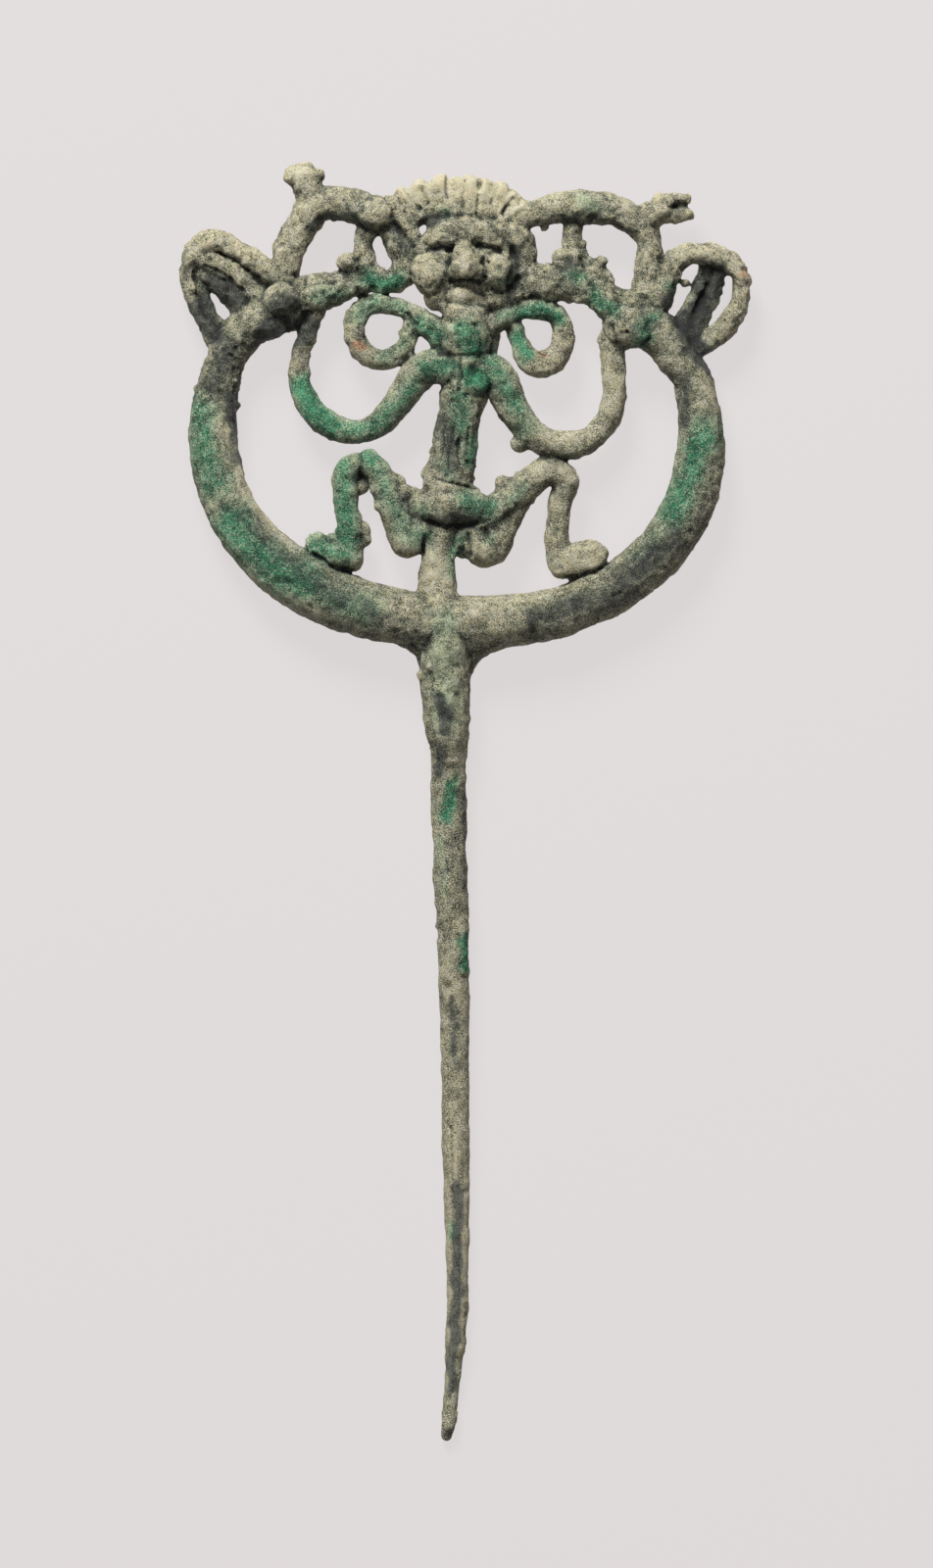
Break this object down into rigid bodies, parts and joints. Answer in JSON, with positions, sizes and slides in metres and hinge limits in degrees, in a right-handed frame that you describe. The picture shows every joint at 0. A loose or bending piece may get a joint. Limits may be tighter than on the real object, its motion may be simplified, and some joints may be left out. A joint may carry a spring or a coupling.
{
  "type": "openwork pin",
  "caption": "Cast bronze pin: long tapering shank under an open ring that frames a seated figure holding two horned beasts, in openwork.",
  "frame": {"origin": "middle of the back of the pin's bounding box, on the surface it lies on", "axes": "+Y along the shank from its tip towards the head, +X to the right as seen from the front, +Z out of the front face"},
  "size_m": [0.085, 0.19, 0.0108],
  "materials": {
    "patinated_bronze": "matte"
  },
  "bodies": {
    "root": {"openwork_pin": "patinated_bronze"}
  },
  "joints": []
}
